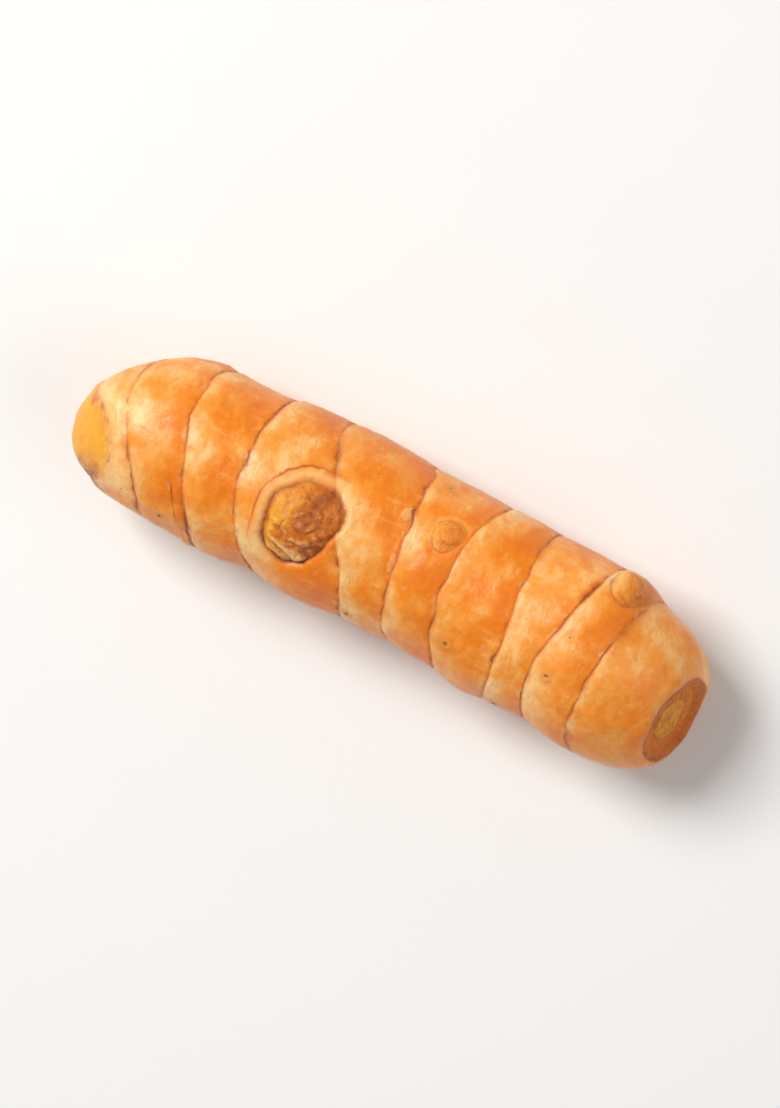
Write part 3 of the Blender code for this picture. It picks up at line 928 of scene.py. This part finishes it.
def eye_colours(nodes, skin, share):
    """A rusty scar, gold on its tip side, dark in its torn edges and groove, and the root dots."""
    along = mark(nodes, "eye_along")
    across = mark(nodes, "eye_across")
    size = mark(nodes, "eye_size")
    scarred = mark(nodes, "eye_winds")
    height, edge, tear = eye_layers(nodes, along, across, size, scarred, SEED)
    spot = nodes.vector(along, across, size)
    blotch = nodes.noise(spot, 0.45, detail=4.0, roughness=0.65, seed=SEED + 1)
    inside = rise_over(1.02 - share, 0.10)
    scar = nodes.mix(held(0.45 + blotch * 0.7 + tear * 0.2), RUST, ORANGE)
    scar = nodes.mix(held(height * 1.2 - along * 1.1 - 0.20 - blotch * 0.3), scar, GOLD)
    torn = held(blotch * 1.1 - tear * 0.3 + along * 0.45 - across * 0.1)
    scar = nodes.mix(torn * scarred * 0.95, scar, BROWN)
    streak = bell(along * 0.93 - across * 0.36 - 0.02, 0.20) * held(across * 2.5 + 0.2) * scarred
    scar = nodes.mix(held(streak * (0.8 + tear * 0.6)), scar, BROWN)
    scar = nodes.mix(held(height * 1.1 - 0.45 - across * 0.8) * scarred * 0.8, scar, CREAM)
    scar = nodes.mix(held(edge * (0.85 + tear * 0.4)), scar, BROWN)
    off_spot = root(along * along + across * across)
    scar = nodes.mix(bell(off_spot - 0.15, 0.08) * held(0.3 + tear * 0.7) * scarred, scar, BROWN)
    scar = nodes.mix(bell(off_spot, 0.06) * 0.3, scar, CREAM)
    skin = nodes.mix(inside * (0.45 + scarred * 0.5), skin, scar)
    one_sided = held(0.75 - along * 0.55) * (1 - scarred) + scarred
    rusty = bell(share - 0.97, 0.10) * held(0.25 - along * 0.5 - across * 0.35 + blotch * 0.3)
    skin = nodes.mix(held(rusty * scarred), skin, RUST)
    groove = bell(share - 1.0, 0.05) * held(0.60 + blotch * 0.5 - along * 0.1 - across * 0.25)
    skin = nodes.mix(held(groove * one_sided) * (scarred * 0.45 + 0.55), skin, BROWN)
    collar = bell(share - EYE_COLLAR_AT, 0.10) * held(0.45 - along * 0.35 + across * 0.35 + blotch * 0.3)
    skin = nodes.mix(collar * (scarred * 0.35 + 0.2), skin, CREAM)
    shown = held(across * 0.55 - along * 0.85 - 0.1 + blotch * 0.3 + tear * 0.2)
    skin = nodes.mix(held(bell(share - EYE_FOLD_AT, 0.035) * shown * scarred), skin, RUST)
    dot = mark(nodes, "root_dot")
    skin = nodes.mix(bell(dot, 2.2) * 0.45, skin, RUST)
    skin = nodes.mix(bell(dot - 1.0, 0.40) * 0.6, skin, PALE)
    skin = nodes.mix(held(bell(dot, 0.70) * (0.8 + tear * 0.3)), skin, BROWN)
    return skin, inside, inside * (height * 45 + tear * 22 - edge * 45)


def base_colours(nodes, skin, place):
    """Broken flesh: a thin brown rim, a rusty band with fibres running out, and a golden core."""
    off_centre = LENGTH + FACE_RADIUS - mark(nodes, "walk")
    _, y, z = nodes.parts(place)
    middle = spine(LENGTH)
    heading = heading_of(y - middle[1], z - middle[2])
    rays = nodes.vector(cosine(heading), sine(heading), off_centre * 60.0)
    fibre = nodes.noise(rays, 0.10, detail=3.0, seed=SEED)
    crumb = nodes.noise(place, CRUMB_SIZE, detail=4.0, roughness=0.65, seed=SEED)
    bundle = nodes.noise(place, BUNDLE_SIZE, detail=1.0, seed=SEED + 2)
    reach = off_centre + crumb * 0.16 * MM
    past_rim = larger(off_centre - RIM_RADIUS, 0.0) * SHOULDER_STEEPNESS
    past_rim = past_rim + smaller(off_centre - RIM_RADIUS, 0.0) + crumb * 0.14 * MM + fibre * 0.06 * MM
    past_rim = nodes.noise(place, RAGGED_SIZE, detail=2.0, seed=SEED) * 0.20 * MM + past_rim
    core = rise_over(CORE_RADIUS - reach, 0.25 * MM)
    flesh = nodes.mix(held(0.65 + crumb * 0.6), RUST, FLESH)
    flesh = nodes.mix(held(fibre * 0.8 - 0.1) * (1 - core) * 0.7, flesh, BROWN)
    flesh = nodes.mix(core * held(0.5 + crumb * 0.5), flesh, GOLD)
    flesh = nodes.mix(core * held(bundle * 2.5 - 1.3) * 0.8, flesh, RUST)
    flesh = nodes.mix(bell(reach - CORE_RADIUS, 0.18 * MM) * held(0.4 + crumb * 0.4), flesh, BROWN)
    flesh = nodes.mix(held(crumb * 1.1 - 0.75) * 0.8, flesh, BROWN)
    inside = rise_over(0 - past_rim, 0.25 * MM)
    skin = nodes.mix(inside * 0.95, skin, flesh)
    scorched = bell(past_rim, 0.75 * MM) * held(0.35 + crumb * 0.4)
    skin = nodes.mix(scorched * 0.7, skin, RUST)
    rim = bell(past_rim - 0.05 * MM, 0.20 * MM) * held(0.70 + crumb * 0.5)
    return nodes.mix(held(rim), skin, BROWN), inside, inside * (fibre * 30 + crumb * 45)


def skin_material():
    """Papery orange skin: mottled and streaked, with painted light just past each ring and painted shade
    towards the next, browner in its rings and scars, golden at the tip.
    """
    material = bpy.data.materials.new("papery turmeric skin")
    material.use_nodes = True
    nodes = Nodes(material.node_tree)
    shader = material.node_tree.nodes["Principled BSDF"]
    place = nodes.node("ShaderNodeAttribute", {}, output=1, attribute_name="skin_place")

    cloud = nodes.noise(place, CLOUD_SIZE, detail=3.0, roughness=0.55, seed=1.0)
    patch = nodes.noise(nodes.stretched(place, 1.0, 1.3, 1.3), PATCH_SIZE, 4.0, 0.6, 0.4, seed=2.0)
    mottle = nodes.noise(nodes.stretched(place, 1.0, 1.5, 1.5), MOTTLE_SIZE, 4.0, 0.6, seed=8.0)
    streak = nodes.noise(nodes.stretched(place, 6.0, 1.0, 1.0), STREAK_SIZE, 4.0, 0.6, seed=3.0)
    band = nodes.noise(nodes.stretched(place, 1.0, 4.0, 4.0), CRINKLE_SIZE, detail=3.0, seed=4.0)
    grain = nodes.noise(place, GRAIN_SIZE, detail=2.0, roughness=0.6, seed=5.0)
    count = mark(nodes, "ring_count")
    share = (count - whole_part(count)) * (count > 0.0)

    # Painted light and shade on each barrel between rings: paler just past a ring, deeper orange towards
    # the next.
    painted_light_past_ring = (1 - share) * (1 - share)
    # The paleness mixes that painted light with the random cloud, patch and mottle.
    paleness = painted_light_past_ring * 0.65 + cloud * 0.45 + patch * 0.45 + mottle * 0.20
    skin = nodes.mix(held(paleness + 0.10), ORANGE, PALE)
    skin = nodes.mix(held(paleness * 1.3 - 0.48), skin, CREAM)
    # Deeper orange where the skin is least pale, plus painted shade towards each barrel's far ring.
    skin = nodes.mix(held(0.12 - paleness + share * 0.35) * 0.95, skin, DEEP)
    skin = nodes.mix(held(mottle * 0.9 - 0.30) * 0.45, skin, DEEP)
    skin = nodes.mix(held(-0.35 - mottle) * 0.40, skin, CREAM)
    skin = nodes.mix(held(streak * 0.9 - 0.35) * 0.45, skin, DEEP)
    skin = nodes.mix(held(-0.45 - streak) * 0.45, skin, CREAM)
    crinkle = bell(band, 0.06) * held(patch * 0.9 + 0.15)
    skin = nodes.mix(crinkle * 0.40, skin, RUST)

    eye_share = mark(nodes, "eye_share")
    skin, line, flakes = ring_colours(nodes, skin, place, covered_by_eye(eye_share))
    skin = cap_colours(nodes, skin, place, patch, mottle)
    skin, scar, torn = eye_colours(nodes, skin, eye_share)
    skin, snapped, fibres = base_colours(nodes, skin, place)
    speck = held(nodes.noise(place, SPECK_SIZE, detail=1.0, seed=6.0) * 2.5 - 3.2)
    skin = nodes.mix(speck * 0.7, skin, BROWN)

    rough = ROUGHNESS + grain * 0.05 + mottle * 0.05 + scar * 0.15
    rough = rough + snapped * 0.25 + flakes * 0.15 + line * 0.15
    micrometres = streak * 12 + mottle * 18 + grain * 5 - crinkle * 20
    micrometres = micrometres - line * 50 + flakes * 25 + torn + fibres
    inputs = {"Strength": 1.0, "Distance": 0.001 * MM, "Height": micrometres}
    bump = nodes.node("ShaderNodeBump", inputs)

    links = material.node_tree.links
    links.new(skin.socket, shader.inputs["Base Color"])
    links.new(rough.socket, shader.inputs["Roughness"])
    links.new(bump.socket, shader.inputs["Normal"])
    shader.inputs["Subsurface Weight"].default_value = GLOW_SHARE
    shader.inputs["Subsurface Radius"].default_value = GLOW_RADII
    shader.inputs["Subsurface Scale"].default_value = GLOW_SCALE
    shader.inputs["Specular IOR Level"].default_value = SHINE
    return material


def skin():
    """The whole finger's skin, in place of the plain solid."""
    piece = plain_mesh("skin", *skin_tree(skin_material()))
    centre_on_solid(piece)
    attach(piece, "root")
    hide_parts("turmeric_root")


def floor():
    """A plain pale floor under the finger."""
    mesh = bpy.data.meshes.new("floor")
    corners = [(x * FLOOR_HALF, y * FLOOR_HALF, 0) for x, y in ((-1, -1), (1, -1), (1, 1), (-1, 1))]
    mesh.from_pydata(corners, [], [(0, 1, 2, 3)])
    piece = bpy.data.objects.new("floor", mesh)
    bpy.context.scene.collection.objects.link(piece)
    material = bpy.data.materials.new("floor")
    material.use_nodes = True
    shader = material.node_tree.nodes["Principled BSDF"]
    shader.inputs["Base Color"].default_value = as_colour(FLOOR_COLOUR)
    shader.inputs["Roughness"].default_value = FLOOR_ROUGHNESS
    mesh.materials.append(material)


def picture_axes():
    """The picture's right, its up, and the way back to the camera, from the photograph's view."""
    back = Vector((math.tan(math.radians(VIEW_FROM_BASE)), math.tan(math.radians(VIEW_FROM_SIDE)), 1.0))
    back.normalize()
    roll = math.radians(AXIS_DOWN_TO_RIGHT)
    right = Vector((math.cos(roll), math.sin(roll), 0.0))
    right = (right - right.dot(back) * back).normalized()
    return right, back.cross(right), back


def camera():
    """The camera, far off with a long lens, aimed over the middle of the finger."""
    right, up, back = picture_axes()
    data = bpy.data.cameras.new("camera")
    data.sensor_fit = "HORIZONTAL"
    data.sensor_width = SENSOR
    data.lens = SENSOR * CAMERA_DISTANCE / FRAME_WIDTH
    eye = bpy.data.objects.new("camera", data)
    aim = Vector((0.0, 0.0, RADIUS))
    turned = Matrix((right, up, back)).transposed().to_4x4()
    eye.matrix_world = Matrix.Translation(aim + back * CAMERA_DISTANCE) @ turned
    bpy.context.scene.collection.objects.link(eye)
    bpy.context.scene.camera = eye


def soft_light(light):
    """A square soft light, aimed at the finger."""
    right, up, _ = picture_axes()
    data = bpy.data.lights.new(light.name, "AREA")
    data.size = light.size
    data.energy = light.power
    data.color = light.tint
    lamp = bpy.data.objects.new(light.name, data)
    spot = right * light.across + up * light.upward + Vector((0.0, 0.0, light.height))
    lamp.matrix_world = Matrix.Translation(spot) @ spot.to_track_quat("Z", "Y").to_matrix().to_4x4()
    bpy.context.scene.collection.objects.link(lamp)


def studio():
    """An even white sky and the soft lights."""
    world = bpy.data.worlds.new("studio")
    world.use_nodes = True
    background = world.node_tree.nodes["Background"]
    background.inputs["Color"].default_value = (1.0, 1.0, 1.0, 1.0)
    background.inputs["Strength"].default_value = SKY_STRENGTH
    bpy.context.scene.world = world
    for light in LIGHTS:
        soft_light(light)
    bpy.context.scene.view_settings.view_transform = "Standard"


skin()
floor()
camera()
studio()
